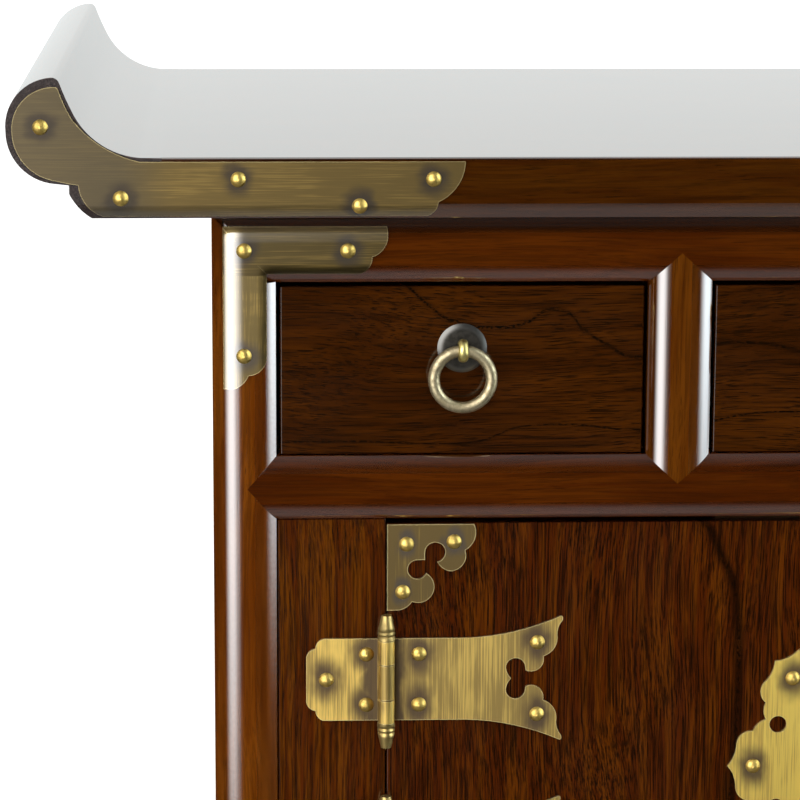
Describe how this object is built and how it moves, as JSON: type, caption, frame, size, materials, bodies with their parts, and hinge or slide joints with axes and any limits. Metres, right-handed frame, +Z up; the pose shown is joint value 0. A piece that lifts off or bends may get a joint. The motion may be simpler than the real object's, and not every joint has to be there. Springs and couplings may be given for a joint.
{
  "type": "side table",
  "caption": "Low altar-cabinet side table with scroll-ended top, drawers over hinged cupboard doors, pierced brass fittings and drop-ring pulls.",
  "frame": {"origin": "centre of the footprint, on the floor under the legs", "axes": "+X to the right seen from the front, -Y towards the front with the drawers and doors, +Z up"},
  "size_m": [0.669, 0.3026, 0.4549],
  "materials": {
    "frame_wood": "gloss lacquer",
    "drawer_wood": "gloss lacquer",
    "door_wood": "gloss lacquer",
    "inner_wood": "plain",
    "antique_brass": "brushed, darkened",
    "bright_brass": "polished",
    "ring_brass": "polished, pale"
  },
  "bodies": {
    "carcass": {"top_board": "frame_wood", "left_scroll_end": "frame_wood", "right_scroll_end": "frame_wood", "left_top_plate": "antique_brass", "right_top_plate": "antique_brass", "front_left_post": "frame_wood", "front_right_post": "frame_wood", "back_left_post": "frame_wood", "back_right_post": "frame_wood", "front_top_rail": "frame_wood", "front_middle_rail": "frame_wood", "front_bottom_rail": "frame_wood", "left_divider": "frame_wood", "right_divider": "frame_wood", "side_rails": "frame_wood", "back_rails": "frame_wood", "left_side_panels": "frame_wood", "right_side_panels": "frame_wood", "back_panels": "inner_wood", "left_front_panel": "door_wood", "right_front_panel": "door_wood", "drawer_deck": "inner_wood", "cupboard_floor": "inner_wood", "drawer_partitions": "inner_wood", "drawer_guides": "inner_wood", "door_stop": "inner_wood", "left_corner_bracket": "antique_brass", "right_corner_bracket": "antique_brass", "frame_hinge_leaves": "antique_brass", "hinge_pins": "bright_brass", "carcass_tacks": "bright_brass"},
    "left_drawer": {"left_drawer_front": "drawer_wood", "left_drawer_box": "inner_wood", "left_drawer_bottom": "inner_wood", "left_drawer_pull": "bright_brass"},
    "left_drawer_ring": {"left_drawer_ring": "ring_brass"},
    "middle_drawer": {"middle_drawer_front": "drawer_wood", "middle_drawer_box": "inner_wood", "middle_drawer_bottom": "inner_wood", "middle_drawer_pull": "bright_brass"},
    "middle_drawer_ring": {"middle_drawer_ring": "ring_brass"},
    "right_drawer": {"right_drawer_front": "drawer_wood", "right_drawer_box": "inner_wood", "right_drawer_bottom": "inner_wood", "right_drawer_pull": "bright_brass"},
    "right_drawer_ring": {"right_drawer_ring": "ring_brass"},
    "left_door": {"left_door": "door_wood", "left_door_hinge_leaves": "antique_brass", "left_door_corner_plates": "antique_brass", "left_lock_plate": "antique_brass", "left_door_tacks": "bright_brass", "left_door_pull": "bright_brass"},
    "left_door_ring": {"left_door_ring": "ring_brass"},
    "right_door": {"right_door": "door_wood", "right_door_hinge_leaves": "antique_brass", "right_door_corner_plates": "antique_brass", "right_lock_plate": "antique_brass", "right_door_tacks": "bright_brass", "right_door_pull": "bright_brass"},
    "right_door_ring": {"right_door_ring": "ring_brass"}
  },
  "joints": [
    {"name": "left_drawer_slide", "type": "slide", "parent": "carcass", "child": "left_drawer", "axis": [0, -1, 0], "range_m": [0, 0.2]},
    {"name": "left_drawer_ring_swing", "type": "hinge", "parent": "left_drawer", "child": "left_drawer_ring", "pos_m": [-0.1648, -0.14385, 0.3512], "axis": [-1, 0, 0], "range_deg": [-8, 180]},
    {"name": "middle_drawer_slide", "type": "slide", "parent": "carcass", "child": "middle_drawer", "axis": [0, -1, 0], "range_m": [0, 0.2]},
    {"name": "middle_drawer_ring_swing", "type": "hinge", "parent": "middle_drawer", "child": "middle_drawer_ring", "pos_m": [0, -0.14385, 0.3512], "axis": [-1, 0, 0], "range_deg": [-8, 180]},
    {"name": "right_drawer_slide", "type": "slide", "parent": "carcass", "child": "right_drawer", "axis": [0, -1, 0], "range_m": [0, 0.2]},
    {"name": "right_drawer_ring_swing", "type": "hinge", "parent": "right_drawer", "child": "right_drawer_ring", "pos_m": [0.1648, -0.14385, 0.3512], "axis": [-1, 0, 0], "range_deg": [-8, 180]},
    {"name": "left_door_hinge", "type": "hinge", "parent": "carcass", "child": "left_door", "pos_m": [-0.1932, -0.14175, 0.185], "axis": [0, 0, -1], "range_deg": [0, 175]},
    {"name": "left_door_ring_swing", "type": "hinge", "parent": "left_door", "child": "left_door_ring", "pos_m": [-0.016, -0.14465, 0.185], "axis": [-1, 0, 0], "range_deg": [-8, 180]},
    {"name": "right_door_hinge", "type": "hinge", "parent": "carcass", "child": "right_door", "pos_m": [0.1932, -0.14175, 0.185], "axis": [0, 0, 1], "range_deg": [0, 175]},
    {"name": "right_door_ring_swing", "type": "hinge", "parent": "right_door", "child": "right_door_ring", "pos_m": [0.016, -0.14465, 0.185], "axis": [-1, 0, 0], "range_deg": [-8, 180]}
  ]
}
